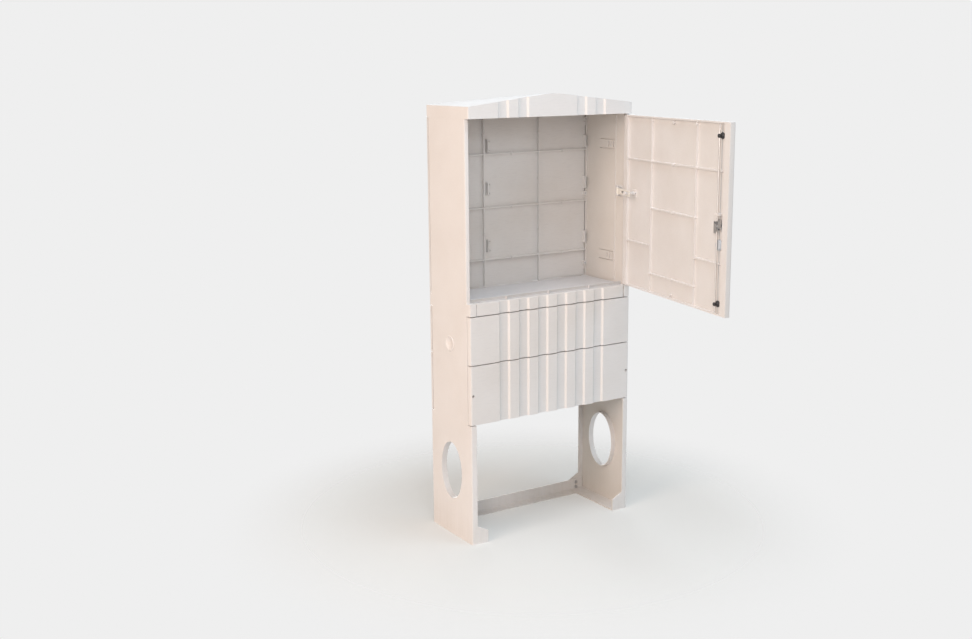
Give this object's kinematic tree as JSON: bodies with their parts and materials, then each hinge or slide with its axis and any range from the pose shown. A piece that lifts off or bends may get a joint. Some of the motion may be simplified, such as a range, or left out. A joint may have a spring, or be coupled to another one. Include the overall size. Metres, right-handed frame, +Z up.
{
  "type": "roadside cable cabinet",
  "caption": "Pale moulded roadside cabinet on open legs, with a fluted door on pin hinges, a rod lock with a swing handle, a door stay, a floor shelf and lift-off base panels.",
  "frame": {"origin": "on the ground at the centre of the footprint", "axes": "+Z up, +Y from the door front to the back, +X to the right seen from the front"},
  "size_m": [0.7914, 1.0688, 1.7902],
  "materials": {
    "moulding": "matte",
    "zinc": "satin",
    "handle": "satin",
    "guide": "matte"
  },
  "bodies": {
    "cabinet": {"left_side": "moulding", "right_side": "moulding", "roof": "moulding", "rear_wall": "moulding", "rear_strip": "moulding", "rear_panel_upper": "moulding", "rear_panel_lower": "moulding", "front_strip": "moulding", "front_panel_upper": "moulding", "front_panel_lower": "moulding", "floor_shelf": "moulding", "rear_rail": "moulding", "rail_bolts": "zinc", "side_caps": "moulding", "panel_screws": "zinc", "mounting_brackets": "moulding", "corner_clips": "moulding", "hinge_pin_lower": "zinc", "hinge_pin_upper": "zinc", "stay_bracket": "moulding", "stay_pin": "zinc"},
    "door": {"door_panel": "moulding", "stay_post": "moulding", "handle_plate": "handle", "fixing_disc": "handle", "rod_guide_upper": "guide", "rod_guide_lower": "guide"},
    "spindle": {"handle_spindle": "zinc", "lock_cam": "zinc", "lever_pin": "zinc"},
    "lever": {"handle_lever": "handle", "lock_barrel": "zinc", "cover_rivet": "zinc"},
    "plug": {"key_plug": "zinc"},
    "cover": {"key_cover": "handle"},
    "rod_up": {"upper_rod": "zinc", "rod_clip": "handle"},
    "rod_down": {"lower_rod": "zinc"},
    "stay": {"stay_loop": "zinc"}
  },
  "joints": [
    {"name": "door_hinge", "type": "hinge", "parent": "cabinet", "child": "door", "pos_m": [0.38, -0.147, 0.99], "axis": [0, 0, 1], "range_deg": [-80, 20]},
    {"name": "handle_turn", "type": "hinge", "parent": "door", "child": "spindle", "pos_m": [0.26916, -0.85044, 1.323], "axis": [0.9848, -0.1736, 0], "range_deg": [-90, 0]},
    {"name": "lever_pull", "type": "hinge", "parent": "spindle", "child": "lever", "pos_m": [0.29182, -0.85443, 1.323], "axis": [0, 0, -1], "range_deg": [0, 25]},
    {"name": "upper_rod_slide", "type": "slide", "parent": "door", "child": "rod_up", "axis": [0, 0, 1], "range_m": [0, 0.02131]},
    {"name": "lower_rod_slide", "type": "slide", "parent": "door", "child": "rod_down", "axis": [0, 0, -1], "range_m": [0, 0.02131]},
    {"name": "key_turn", "type": "hinge", "parent": "lever", "child": "plug", "pos_m": [0.31931, -0.72728, 1.323], "axis": [-0.9848, 0.1736, 0], "range_deg": [0, 90]},
    {"name": "cover_swing", "type": "hinge", "parent": "lever", "child": "cover", "pos_m": [0.31636, -0.74402, 1.323], "axis": [-0.9848, 0.1736, 0], "range_deg": [0, 100]},
    {"name": "stay_swing", "type": "hinge", "parent": "cabinet", "child": "stay", "pos_m": [0.368, -0.104, 1.382], "axis": [0, 0, 1], "range_deg": [-64.05, 16.05]}
  ],
  "couplings": [
    {"joint": "upper_rod_slide", "follows": "handle_turn", "m_per_rad": -0.013505},
    {"joint": "lower_rod_slide", "follows": "handle_turn", "m_per_rad": -0.013505},
    {"joint": "stay_swing", "follows": "door_hinge", "ratio": 0.80002}
  ]
}
